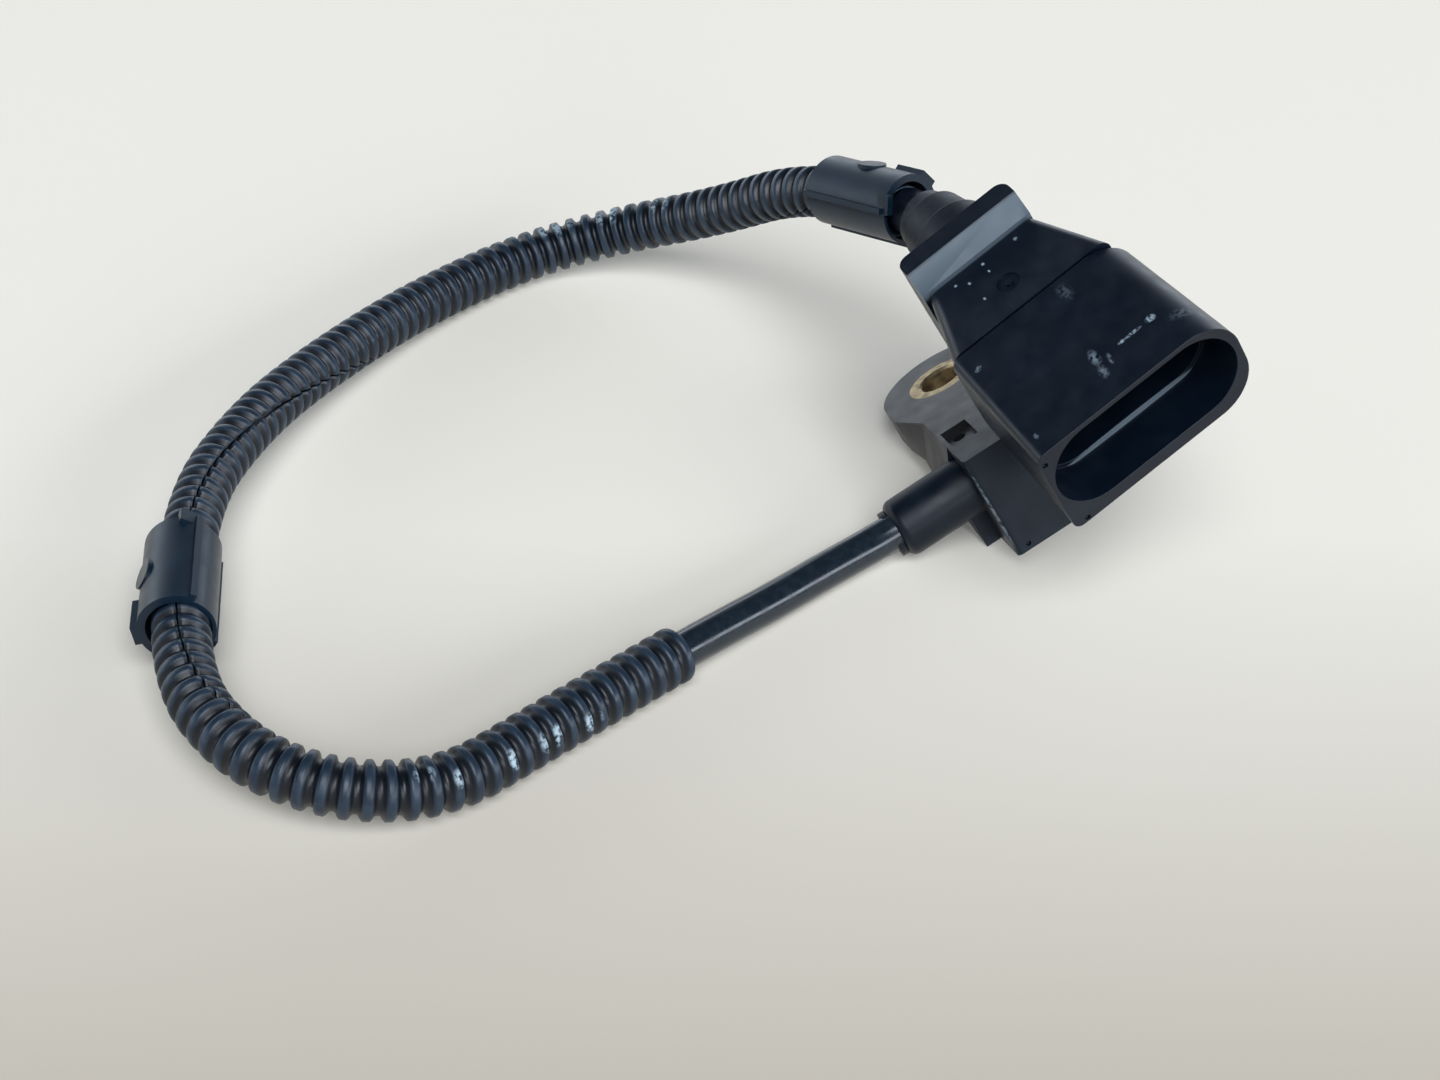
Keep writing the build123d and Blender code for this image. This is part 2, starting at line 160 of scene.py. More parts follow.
@dataclass(frozen=True)
class Surface:
    """A material in the making: its tree, its shader and the object's places in millimetres."""

    tree: bpy.types.NodeTree
    shader: bpy.types.Node
    place_mm: bpy.types.NodeSocket

    @classmethod
    def start(cls, material: bpy.types.Material) -> Surface:
        """Give a new material its tree, and places in millimetres to paint by.

        Args:
            material: The new material.

        Returns:
            The surface, ready for its coats.
        """
        material.use_nodes = True
        tree = material.node_tree
        place = add_node(tree, "ShaderNodeTexCoord").outputs["Object"]
        in_mm = add_node(tree, "ShaderNodeVectorMath", {0: place, 3: 1 / MM}, operation="SCALE")
        return cls(tree, tree.nodes["Principled BSDF"], in_mm.outputs[0])

    def lay_coats(self, base: str, coats: list[tuple[bpy.types.NodeSocket, str]]) -> None:
        """Colour the surface with coats over a base, each where its own mask says.

        Args:
            base: The lowest colour, as hex digits.
            coats: The mask and the colour of each coat, from the lowest up.
        """
        colour = linear(base)
        for mask, over in coats:
            mixed = add_node(
                self.tree,
                "ShaderNodeMix",
                {0: mask, 6: colour, 7: linear(over)},
                data_type="RGBA",
            )
            colour = mixed.outputs[2]
        self.tree.links.new(colour, self.shader.inputs["Base Color"])


@dataclass(frozen=True)
class Patches:
    """Soft random patches of a real size, and the part of their range that shows."""

    size_mm: float
    low: float = 0.3
    high: float = 0.7
    # How many finer layers the patches have
    detail: float = 3.0

    def spread(
        self, surface: Surface, at_low: float = 0.0, at_high: float = 1.0
    ) -> bpy.types.NodeSocket:
        """Spread the patches over a surface.

        Args:
            surface: The surface.
            at_low: The value where the pattern is at its low end, or under it.
            at_high: The value where it is at its high end, or above it.

        Returns:
            The value's socket.
        """
        cloud = add_node(
            surface.tree,
            "ShaderNodeTexNoise",
            {"Vector": surface.place_mm, "Scale": 1 / self.size_mm, "Detail": self.detail},
        )
        shown = add_node(
            surface.tree,
            "ShaderNodeMapRange",
            {
                "Value": cloud.outputs["Fac"],
                "From Min": self.low,
                "From Max": self.high,
                "To Min": at_low,
                "To Max": at_high,
            },
        )
        return shown.outputs["Result"]


@dataclass(frozen=True)
class Grain:
    """The fine relief that the mould leaves on a surface."""

    size_mm: float
    depth_mm: float
    strength: float
    detail: float = 2.0

    def emboss(self, surface: Surface) -> None:
        """Put the grain on a surface.

        Args:
            surface: The surface.
        """
        cloud = add_node(
            surface.tree,
            "ShaderNodeTexNoise",
            {"Vector": surface.place_mm, "Scale": 1 / self.size_mm, "Detail": self.detail},
        )
        relief = add_node(
            surface.tree,
            "ShaderNodeBump",
            {
                "Strength": self.strength,
                "Distance": self.depth_mm * MM,
                "Height": cloud.outputs["Fac"],
            },
        )
        surface.tree.links.new(relief.outputs[0], surface.shader.inputs["Normal"])


@dataclass(frozen=True)
class Lie:
    """Where a moulding lies, as the solids do: its own origin, heading, pitch and roll."""

    place_mm: tuple[float, float, float]
    heading_degrees: float
    pitch_degrees: float
    roll_degrees: float

    def turn(self, about_own_z_degrees: float) -> Matrix:
        """The moulding's turn, with one more turn first about its own upright axis.

        Args:
            about_own_z_degrees: That first turn.

        Returns:
            A 3 by 3 matrix.
        """
        heading = Matrix.Rotation(math.radians(self.heading_degrees), 3, "Z")
        pitch = Matrix.Rotation(math.radians(self.pitch_degrees), 3, "X")
        roll = Matrix.Rotation(math.radians(self.roll_degrees), 3, "Y")
        first = Matrix.Rotation(math.radians(about_own_z_degrees), 3, "Z")
        return heading @ pitch @ roll @ first


ROW_LIE = Lie((0.0, 0.0, 0.0), 0.0, 0.0, 0.0)
HEAD_LIE = Lie((5.67, 14.12, 10.18), 164.8, 19.0, 29.5)
PLUG_LIE = Lie((2.04, -36.54, 41.2), 180.0, 0.0, 31.0)


@dataclass(frozen=True)
class Mark:
    """A rubbed, chipped or dusty place, a painted highlight or a painted sheen: an ellipsoid in a
    moulding's own frame.
    """

    centre_mm: tuple[float, float, float]
    half_mm: tuple[float, float, float]
    turn_degrees: float = 0.0
    strength: float = 1.0
    # The size of the crumbs that the mark breaks up into, or 0 for an even mark
    crumb_mm: float = 0.5
    # The outer share of the ellipsoid over which the mark fades
    softness: float = 0.5

    def mask(self, surface: Surface, lie: Lie) -> bpy.types.NodeSocket:
        """How strongly the mark shows at each place.

        Args:
            surface: The marked surface.
            lie: Where the marked moulding lies.

        Returns:
            A value socket, from 0 to the mark's strength.
        """
        centre = lie.turn(0.0) @ Vector(self.centre_mm) + Vector(lie.place_mm)
        inside = add_node(
            surface.tree,
            "ShaderNodeMapping",
            {
                "Vector": surface.place_mm,
                "Location": tuple(centre),
                "Rotation": tuple(lie.turn(self.turn_degrees).to_euler()),
                "Scale": self.half_mm,
            },
            vector_type="TEXTURE",
        )
        reach = add_node(
            surface.tree, "ShaderNodeVectorMath", {0: inside.outputs[0]}, operation="LENGTH"
        )
        faded = add_node(
            surface.tree,
            "ShaderNodeMapRange",
            {
                "Value": reach.outputs["Value"],
                "From Min": 1.0 - self.softness,
                "From Max": 1.0,
                "To Min": self.strength,
                "To Max": 0.0,
            },
        )
        if not self.crumb_mm:
            return faded.outputs["Result"]
        crumbs = Patches(self.crumb_mm, low=0.4, high=0.55, detail=2.0).spread(surface)
        broken = add_node(
            surface.tree,
            "ShaderNodeMath",
            {0: faded.outputs["Result"], 1: crumbs},
            operation="MULTIPLY",
        )
        return broken.outputs[0]


# The rubs and flecks on the plug, and its painted sheen and highlight: x across it, y out of its
# mouth
PLUG_WEAR_AND_HIGHLIGHTS = (
    # Scraped places near the mouth
    Mark((-8.6, -7.3, 0.0), (0.9, 0.7, 1.0), 0.0, 1.0, 0.4),
    Mark((-5.6, -7.2, 0.0), (1.5, 0.35, 1.0), 0.0, 1.0, 0.3),
    Mark((-3.7, -7.2, 0.0), (0.8, 0.35, 1.0), 0.0, 0.9, 0.3),
    # Rubbed places on the shroud
    Mark((0.5, -7.9, 0.0), (0.9, 1.9, 1.0), -8.0, 0.5, 0.6, 0.8),
    Mark((1.0, -5.0, 0.0), (0.8, 1.6, 1.0), -8.0, 0.4, 0.5, 0.8),
    Mark((-0.9, -6.1, 0.0), (0.4, 1.3, 1.0), -12.0, 0.5, 0.4, 0.8),
    Mark((-12.3, -5.2, -0.6), (2.8, 1.3, 1.5), 0.0, 0.25, 0.6, 0.9),
    Mark((-3.4, -21.0, 0.0), (1.2, 2.2, 1.0), 0.0, 0.2, 0.6, 0.9),
    Mark((12.6, -19.7, -0.3), (0.9, 0.5, 1.0), 30.0, 0.5, 0.3),
    Mark((13.5, -3.4, -0.3), (0.4, 0.7, 1.0), 0.0, 0.4, 0.3),
    # Flecks on the rear cover
    Mark((1.45, -35.9, -0.7), (0.3, 0.35, 0.5), 0.0, 1.0, 0.0),
    Mark((1.6, -33.9, -0.6), (0.2, 0.35, 0.5), 0.0, 1.0, 0.0),
    Mark((6.4, -35.8, -0.7), (0.28, 0.3, 0.5), 0.0, 0.9, 0.0),
    Mark((4.8, -34.4, -0.6), (0.25, 0.4, 0.5), 0.0, 0.9, 0.0),
    Mark((4.9, -29.9, -0.4), (0.25, 0.4, 0.5), 0.0, 0.8, 0.0),
    Mark((-4.4, -35.8, -0.7), (0.4, 0.5, 0.5), 20.0, 0.7, 0.5),
    # A painted sheen on the facet of the bar, and a painted highlight along the edge of the ledge
    # in the mouth
    Mark((1.1, -38.9, 1.0), (30.0, 1.75, 3.6), 0.0, 0.28, 0.0, 0.2),
    Mark((0.2, -7.8, -13.9), (13.6, 0.35, 0.55), 0.0, 0.35, 0.0, 0.3),
)

# A painted highlight along the corner of the nose, in the head's own frame
HEAD_HIGHLIGHTS = (Mark((6.7, 32.6, -8.8), (0.35, 0.35, 8.6), 0.0, 0.4, 0.7, 0.4),)

# A grey film of dust and painted reflection over the bolt ear, which ends towards the nose, in the
# head's own frame
HEAD_DUST_AND_SHEEN = Mark((0.0, 2.0, 0.0), (22.0, 25.0, 12.0), 0.0, 1.0, 0.0, 0.3)

# The scrapes on the conduit, in the row's frame
CONDUIT_MARKS = (
    Mark((-85.2, -34.8, 6.4), (1.6, 1.6, 1.8), 0.0, 1.0, 0.6),
    Mark((-79.5, -32.9, 6.0), (2.2, 1.6, 2.0), 0.0, 1.0, 0.6),
    Mark((-77.6, -32.0, 6.5), (1.3, 1.0, 1.2), 0.0, 1.0, 0.6),
    Mark((-72.6, -31.2, 5.2), (2.0, 1.6, 1.6), 0.0, 1.0, 0.6),
    Mark((-93.0, -36.2, 7.4), (1.4, 1.4, 1.8), 0.0, 1.0, 0.6),
    Mark((-97.7, -35.0, 8.7), (1.6, 1.5, 1.5), 0.0, 0.8, 0.6),
    Mark((-22.0, 76.2, 12.0), (3.5, 2.6, 2.2), 0.0, 0.9, 0.7),
    Mark((-31.0, 79.2, 9.6), (5.0, 2.2, 1.8), 0.0, 0.7, 0.7),
    Mark((-15.5, 71.5, 15.2), (3.0, 3.0, 2.0), 0.0, 0.7, 0.7),
)


@dataclass(frozen=True, kw_only=True)
class Finish:
    """A surface finish, made as one procedural material."""

    name: str
    roughness: float
    # How far the roughness falls and rises from patch to patch
    smoother: float = 0.05
    rougher: float = 0.08
    gloss: Patches = Patches(2.0)
    shine: float = 0.5
    metallic: float = 0.0

    def build(self) -> bpy.types.Material:
        """Make the material.

        Returns:
            The new material.
        """
        material = bpy.data.materials.new(self.name)
        surface = Surface.start(material)
        surface.shader.inputs["Metallic"].default_value = self.metallic
        surface.shader.inputs["Specular IOR Level"].default_value = self.shine
        uneven = self.gloss.spread(
            surface, self.roughness - self.smoother, self.roughness + self.rougher
        )
        surface.tree.links.new(uneven, surface.shader.inputs["Roughness"])
        self.paint(surface)
        return material

    def paint(self, surface: Surface) -> None:
        """Give the surface its colour and its relief.

        Args:
            surface: The surface.
        """
        raise NotImplementedError


@dataclass(frozen=True, kw_only=True)
class MouldedNylon(Finish):
    """Glass-filled nylon from a spark-eroded mould: near black, finely grained, softly glossy."""

    colour: str
    dusty: str
    # Where the surface is rubbed, the glass fibres show pale. The same colour paints the
    # highlights and the sheen among the marks
    pale_coat: str = "8FA0AC"
    # The film's grey is dust and painted reflection
    dust_and_sheen: str = "2D2C2C"
    roughness: float = 0.38
    rougher: float = 0.07
    gloss: Patches = Patches(3.0, detail=4.0)
    shine: float = 0.32
    dust: Patches = Patches(6.0, low=0.45, high=0.8, detail=6.0)
    # The spark-eroded grain breaks up each reflection's edge
    grain: Grain = Grain(size_mm=0.16, depth_mm=0.012, strength=0.6)
    lie: Lie = PLUG_LIE
    marks: tuple[Mark, ...] = ()
    dust_and_sheen_mark: Mark | None = None

    def paint(self, surface: Surface) -> None:
        """Lay dust, a film of dust and painted reflection, and the marks with their painted
        highlights over the nylon, and give it its grain.

        Args:
            surface: The surface.
        """
        coats = [(self.dust.spread(surface), self.dusty)]
        if self.dust_and_sheen_mark:
            coats.append((self.dust_and_sheen_mark.mask(surface, self.lie), self.dust_and_sheen))
        coats += [(mark.mask(surface, self.lie), self.pale_coat) for mark in self.marks]
        surface.lay_coats(self.colour, coats)
        self.grain.emboss(surface)


@dataclass(frozen=True, kw_only=True)
class CorrugatedTube(Finish):
    """Polypropylene, blown into a corrugated mould: satin, and paler where ribs have rubbed."""

    # The valleys between the ribs take a darker colour, as painted shade
    valley_shade: str = "090F16"
    crest: str = "182634"
    pale_coat: str = "2C3B49"
    scraped: str = "9FB2BC"
    roughness: float = 0.36
    rougher: float = 0.1
    gloss: Patches = Patches(4.0)
    shine: float = 0.4
    rubs: Patches = Patches(2.5, low=0.45, high=0.8, detail=5.0)
    # The film's fine streaks, drawn wider than they are so that they show
    grain: Grain = Grain(size_mm=0.35, depth_mm=0.02, strength=0.5)
    # The rib heights at which the valley's painted shade ends and the crest's colour is full
    crest_from: float = 0.55
    crest_to: float = 0.95
    marks: tuple[Mark, ...] = ()

    def paint(self, surface: Surface) -> None:
        """Paint shade into the valleys, keep the crests paler, and scrape only the crests.

        Args:
            surface: The surface.
        """
        tree = surface.tree
        height = add_node(tree, "ShaderNodeAttribute", attribute_name=RIB_HEIGHT)
        on_crest = add_node(
            tree,
            "ShaderNodeMapRange",
            {
                "Value": height.outputs["Fac"],
                "From Min": self.crest_from,
                "From Max": self.crest_to,
            },
        ).outputs["Result"]
        coats = [(on_crest, self.crest)]
        worn = [(self.rubs.spread(surface), self.pale_coat)]
        worn += [(mark.mask(surface, ROW_LIE), self.scraped) for mark in self.marks]
        for mask, over in worn:
            held = add_node(tree, "ShaderNodeMath", {0: on_crest, 1: mask}, operation="MULTIPLY")
            coats.append((held.outputs[0], over))
        surface.lay_coats(self.valley_shade, coats)
        self.grain.emboss(surface)


@dataclass(frozen=True, kw_only=True)
class TurnedBrass(Finish):
    """Turned brass, dulled in the air: warm, with duller and darker patches."""

    colour: str = "B5A17E"
    dulled: str = "7C6C50"
    roughness: float = 0.48
    smoother: float = 0.08
    rougher: float = 0.15
    gloss: Patches = Patches(0.8)
    metallic: float = 1.0
    tarnish: Patches = Patches(1.5, low=0.4, high=0.7, detail=6.0)

    def paint(self, surface: Surface) -> None:
        """Lay tarnish over the brass.

        Args:
            surface: The surface.
        """
        surface.lay_coats(self.colour, [(self.tarnish.spread(surface), self.dulled)])


@dataclass(frozen=True, kw_only=True)
class EvenFinish(Finish):
    """A small or smooth piece: one colour, with a second close to it in small spots."""

    colour: str
    second: str
    spots: Patches = Patches(1.2, low=0.4, high=0.7, detail=4.0)

    def paint(self, surface: Surface) -> None:
        """Spot the colour with the second one.

        Args:
            surface: The surface.
        """
        surface.lay_coats(self.colour, [(self.spots.spread(surface), self.second)])


@dataclass(frozen=True)
class RoundedNode:
    """A rigid piece: the solid's own mesh, merged, with its edges broken."""

    node: str
    slot: Slot
    edge_mm: float = 0.25
    edge_segments: int = 2
    merge_mm: float = 0.002
    # Faces that turn less than this are made one, so that flat walls shade flat
    flat_degrees: float = 0.6
    # Edges that turn more than this are sharp
    crease_degrees: float = 32.0

    def build(self, frame: dict, material: bpy.types.Material) -> bpy.types.Object:
        """Make the piece that is shown for the node.

        Args:
            frame: The loaded frame.
            material: The piece's material.

        Returns:
            The new object.
        """
        source = frame["nodes"][self.node]
        mesh = source.data.copy()
        mesh.name = self.node + "_shown"
        shape = bmesh.new()
        shape.from_mesh(mesh)
        shape.transform(source.matrix_world)
        bmesh.ops.remove_doubles(shape, verts=shape.verts, dist=self.merge_mm * MM)
        bmesh.ops.dissolve_limit(
            shape,
            angle_limit=math.radians(self.flat_degrees),
            verts=shape.verts,
            edges=shape.edges,
        )
        crease = math.radians(self.crease_degrees)
        for face in shape.faces:
            face.smooth = True
        for edge in shape.edges:
            edge.smooth = len(edge.link_faces) == 2 and edge.calc_face_angle(0.0) < crease
        shape.to_mesh(mesh)
        shape.free()
        mesh.materials.clear()
        mesh.materials.append(material)
        piece = bpy.data.objects.new(self.node + "_shown", mesh)
        bpy.context.collection.objects.link(piece)
        if self.edge_mm:
            bevel = piece.modifiers.new("broken edges", "BEVEL")
            bevel.width = self.edge_mm * MM
            bevel.segments = self.edge_segments
            bevel.limit_method = "ANGLE"
            bevel.angle_limit = crease
            bevel.harden_normals = True
        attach(piece, "root")
        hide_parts(self.node)
        return piece


@dataclass(frozen=True)
class Assembly:
    """Rigid pieces that belong together."""

    def pieces(self) -> list[tuple[RoundedNode, Finish]]:
        """The pieces, each with its finish.

        Returns:
            Pairs of a piece and its finish.
        """
        raise NotImplementedError

    def build(self, frame: dict) -> dict[str, bpy.types.Object]:
        """Make and dress the pieces. Those with the same finish share one material.

        Args:
            frame: The loaded frame.

        Returns:
            The new objects, by the names of the nodes that they replace.
        """
        materials: dict[Finish, bpy.types.Material] = {}
        shown: dict[str, bpy.types.Object] = {}
        for piece, finish in self.pieces():
            if finish not in materials:
                materials[finish] = finish.build()
            shown[piece.node] = piece.build(frame, materials[finish])
            LOG.info("%s: %s, edges broken by %.2f mm", piece.node, finish.name, piece.edge_mm)
        return shown


@dataclass(frozen=True)
class SensorHead(Assembly):
    """The moulded head, the brass bush in its ear, and the sleeve where the cable enters."""

    housing_edge_mm: float = 0.25
    bush_edge_mm: float = 0.1
    sleeve_edge_mm: float = 0.2

    def pieces(self) -> list[tuple[RoundedNode, Finish]]:
        """The head's pieces, each with its finish.

        Returns:
            The housing, the bush and the sleeve.
        """
        # The head is the dustiest piece, greyer on top than the plug above it; that grey is dust
        # and painted reflection
        housing = MouldedNylon(
            name="head nylon",
            colour="07121D",
            dusty="111D28",
            shine=0.24,
            lie=HEAD_LIE,
            dust_and_sheen_mark=HEAD_DUST_AND_SHEEN,
            marks=HEAD_HIGHLIGHTS,
        )
        # The sleeve is moulded over the cable, cleaner and a little bluer than the head
        sleeve = MouldedNylon(name="sleeve nylon", colour="050E18", dusty="0D1823", shine=0.24)
        bush = TurnedBrass(name="turned brass")
        return [
            (RoundedNode("sensor_housing", Slot.HOUSING, self.housing_edge_mm), housing),
            (RoundedNode("bolt_bush", Slot.BUSH, self.bush_edge_mm), bush),
            (RoundedNode("cable_sleeve", Slot.SLEEVE, self.sleeve_edge_mm), sleeve),
        ]


@dataclass(frozen=True)
class Plug(Assembly):
    """The plug: its shroud, its rear cover and the boot behind it."""

    edge_mm: float = 0.3

    def pieces(self) -> list[tuple[RoundedNode, Finish]]:
        """The plug's pieces, each with its finish.

        Returns:
            The shroud, the rear cover and the boot.
        """
        # The plug is the cleanest and glossiest nylon, with the rubs of handling
        nylon = MouldedNylon(
            name="plug nylon", colour="06101C", dusty="0E1824", roughness=0.34, marks=PLUG_WEAR_AND_HIGHLIGHTS
        )
        # Moulded rubber has no gloss to speak of, so the boot is a flat, dark piece
        rubber = EvenFinish(
            name="boot rubber", colour="080E1A", second="101824", roughness=0.42, shine=0.2
        )
        return [
            (RoundedNode("plug_housing", Slot.PLUG, self.edge_mm), nylon),
            (RoundedNode("plug_rear_cover", Slot.COVER, self.edge_mm), nylon),
            (RoundedNode("cable_boot", Slot.BOOT, self.edge_mm), rubber),
        ]


@dataclass(frozen=True)
class HarnessClips(Assembly):
    """The two harness clips round the conduit."""

    clips: tuple[str, ...] = ("clip_near_plug", "clip_mid")
    edge_mm: float = 0.4

    def pieces(self) -> list[tuple[RoundedNode, Finish]]:
        """The clips, each with its finish.

        Returns:
            Both clips, in the same nylon.
        """
        # The clips are a clearer blue-black than the conduit that they hold
        nylon = MouldedNylon(name="clip nylon", colour="0A1C2A", dusty="122433", roughness=0.34)
        return [(RoundedNode(clip, Slot.CLIP, self.edge_mm), nylon) for clip in self.clips]


@dataclass(frozen=True)
class Contacts(Assembly):
    """The three contact blades, stamped with sharp edges, deep in the plug's mouth."""

    blades: tuple[str, ...] = ("blade_1", "blade_2", "blade_3")
    edge_mm: float = 0.0

    def pieces(self) -> list[tuple[RoundedNode, Finish]]:
        """The blades, each with its finish.

        Returns:
            All blades, in the same tinned bronze.
        """
        # Tinned bronze is a pale, slightly warm metal with a soft shine
        tin = EvenFinish(
            name="tinned contact", colour="B9B6AE", second="9A978F", roughness=0.3, metallic=1.0
        )
        return [(RoundedNode(blade, Slot.BLADE, self.edge_mm), tin) for blade in self.blades]


@dataclass(frozen=True)
class InnerPieces:
    """The pieces inside the mouldings, which are the solids themselves."""

    # Unfilled plastic keeps its own pale yellow
    finish: Finish = EvenFinish(
        name="inner moulding", colour="8A8270", second="9A927F", roughness=0.5
    )

    def dress(self, frame: dict, shown: dict[str, bpy.types.Object]) -> None:
        """Give every solid that nothing stands for its finish.

        Args:
            frame: The loaded frame.
            shown: The pieces that stand for other nodes, by the nodes' names.
        """
        material = self.finish.build()
        for name, solid in frame["nodes"].items():
            if name in shown:
                continue
            for place in solid.material_slots:
                place.link = "OBJECT"
                place.material = material
            LOG.info("%s: %s", name, self.finish.name)


@dataclass(frozen=True)
class Cable:
    """The round cable, one smooth line from the plug to the head."""

    radius_mm: float = 2.7
    steps_between_points: int = 16
    round_steps: int = 6
    # Extruded plastic comes smooth from its die, so a lamp draws a bright streak along it
    finish: Finish = EvenFinish(
        name="cable jacket", colour="141D25", second="1C262E", roughness=0.16
    )

    def line(self, name: str) -> bpy.types.Object:
        """Make the route as a smooth curve object, without thickness.

        Args:
            name: The new object's name.

        Returns:
            The curve object.
        """
        data = bpy.data.curves.new(name, "CURVE")
        data.dimensions = "3D"
        spline = data.splines.new("NURBS")
        spline.points.add(len(ROUTE) - 1)
        for point, place in zip(spline.points, ROUTE):
            point.co = (*place, 1.0)
        spline.order_u = 3
        spline.use_endpoint_u = True
        data.resolution_u = self.steps_between_points
        made = bpy.data.objects.new(name, data)
        bpy.context.collection.objects.link(made)
        return made

    def build(self) -> bpy.types.Object:
        """Make the cable.

        Returns:
            The curve object, with its thickness.
        """
        cable = self.line("cable")
        cable.data.bevel_depth = self.radius_mm * MM
        cable.data.bevel_resolution = self.round_steps
        cable.data.use_fill_caps = True
        cable.data.materials.append(self.finish.build())
        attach(cable, "root")
        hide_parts("cable_jacket")
        LOG.info("cable: %s, %.1f mm thick", self.finish.name, 2 * self.radius_mm)
        return cable


@dataclass(frozen=True)
class Conduit:
    """The split, corrugated conduit, which follows the cable."""

    start_mm: float = 28.0
    end_mm: float = 317.0
    pitch_mm: float = 2.6
    crest_mm: float = 3.98
    root_mm: float = 3.12
    wall_mm: float = 0.3
    slit_mm: float = 0.3
    rings_per_rib: int = 10
    sides: int = 36
    # The part of each cosine wave that climbs from the valley to the flat of the crest
    climb_from: float = -0.7
    climb_to: float = 0.35
    # How far round the slit lies at each station: (share of the length, turns from the top)
    slit_turns: tuple[tuple[float, float], ...] = (
        (0.0, 0.52),
        (0.06, 0.43),
        (0.1, 0.33),
        (0.13, 0.29),
        (0.3, 0.27),
        (0.38, 0.36),
        (0.43, 0.49),
        (0.48, 0.575),
        (0.55, 0.68),
        (0.61, 0.74),
        (0.68, 0.763),
        (0.72, 0.73),
        (0.79, 0.57),
        (1.0, 0.5),
    )
    finish: Finish = CorrugatedTube(name="corrugated tube", marks=CONDUIT_MARKS)

    def turned_line(
        self, tree: bpy.types.NodeTree, given: bpy.types.NodeOutputs, along: bpy.types.Node
    ) -> bpy.types.NodeSocket:
        """Cut the line to the conduit's length, ring it and turn it so that its top is the slit.

        Args:
            tree: The geometry node tree.
            given: The tree's named inputs.
            along: The node that tells the share of the length.

        Returns:
            The turned line's socket.
        """
        cut = add_node(
            tree,
            "GeometryNodeTrimCurve",
            {0: given["Geometry"], 4: given["Start"], 5: given["End"]},
            mode="LENGTH",
        )
        rings = add_node(
            tree,
            "GeometryNodeResampleCurve",
            {"Curve": cut.outputs[0], "Length": given["Ring Gap"]},
            mode="LENGTH",
        )
        upright = add_node(
            tree, "GeometryNodeSetCurveNormal", {0: rings.outputs[0]}, mode="Z_UP"
        )
        turns = add_node(tree, "ShaderNodeFloatCurve", {"Value": along.outputs["Factor"]})
        course = turns.mapping.curves[0]
        course.points[0].location = self.slit_turns[0]
        course.points[1].location = self.slit_turns[-1]
        for share, turned in self.slit_turns[1:-1]:
            course.points.new(share, turned)
        turns.mapping.update()
        tilt = add_node(
            tree, "ShaderNodeMath", {0: turns.outputs[0], 1: math.tau}, operation="MULTIPLY"
        )
        tilted = add_node(
            tree, "GeometryNodeSetCurveTilt", {0: upright.outputs[0], "Tilt": tilt.outputs[0]}
        )
        return tilted.outputs[0]

    def rib_heights(
        self, tree: bpy.types.NodeTree, given: bpy.types.NodeOutputs, along: bpy.types.Node
    ) -> bpy.types.NodeSocket:
        """Raise a flat-topped rib at every pitch along the line.

        Args:
            tree: The geometry node tree.
            given: The tree's named inputs.
            along: The node that tells the length so far.

        Returns:
            The height's socket, 0 in a valley and 1 on a crest.
        """
        ribs = add_node(
            tree,
            "ShaderNodeMath",
            {0: along.outputs["Length"], 1: given["Pitch"]},
            operation="DIVIDE",
        )
        angle = add_node(
            tree, "ShaderNodeMath", {0: ribs.outputs[0], 1: math.tau}, operation="MULTIPLY"
        )
        wave = add_node(tree, "ShaderNodeMath", {0: angle.outputs[0]}, operation="COSINE")
        height = add_node(
            tree,
            "ShaderNodeMapRange",
            {
                "Value": wave.outputs[0],
                "From Min": self.climb_from,
                "From Max": self.climb_to,
            },
        )
        return height.outputs["Result"]

    def open_ring(
        self, tree: bpy.types.NodeTree, given: bpy.types.NodeOutputs
    ) -> bpy.types.NodeSocket:
        """Draw the conduit's section at a crest: a ring that is open at the slit.

        Args:
            tree: The geometry node tree.
            given: The tree's named inputs.

        Returns:
            The section's socket.
        """
        gap = add_node(
            tree,
            "ShaderNodeMath",
            {0: given["Slit Width"], 1: given["Crest Radius"]},
            operation="DIVIDE",
        )
        half_gap = add_node(
            tree, "ShaderNodeMath", {0: gap.outputs[0], 1: 0.5}, operation="MULTIPLY"
        )
        sweep = add_node(
            tree, "ShaderNodeMath", {0: math.tau, 1: gap.outputs[0]}, operation="SUBTRACT"
        )
        ring = add_node(
            tree,
            "GeometryNodeCurveArc",
            {
                "Resolution": given["Sides"],
                4: given["Crest Radius"],
                "Start Angle": half_gap.outputs[0],
                "Sweep Angle": sweep.outputs[0],
            },
            mode="RADIUS",
        )
        return ring.outputs["Curve"]

    def tree(self) -> bpy.types.NodeTree:
        """Make the node group that turns a line into ribbed tube.

        Returns:
            The geometry node tree.
        """
        tree = bpy.data.node_groups.new("ribbed split tube", "GeometryNodeTree")
        sockets = {
            "Geometry": "NodeSocketGeometry",
            "Start": "NodeSocketFloat",
            "End": "NodeSocketFloat",
            "Pitch": "NodeSocketFloat",
            "Crest Radius": "NodeSocketFloat",
            "Root Radius": "NodeSocketFloat",
            "Slit Width": "NodeSocketFloat",
            "Ring Gap": "NodeSocketFloat",
            "Sides": "NodeSocketInt",
            "Material": "NodeSocketMaterial",
        }
        for name, kind in sockets.items():
            tree.interface.new_socket(name, in_out="INPUT", socket_type=kind)
        tree.interface.new_socket("Geometry", in_out="OUTPUT", socket_type="NodeSocketGeometry")
        given = add_node(tree, "NodeGroupInput").outputs
        along = add_node(tree, "GeometryNodeSplineParameter")

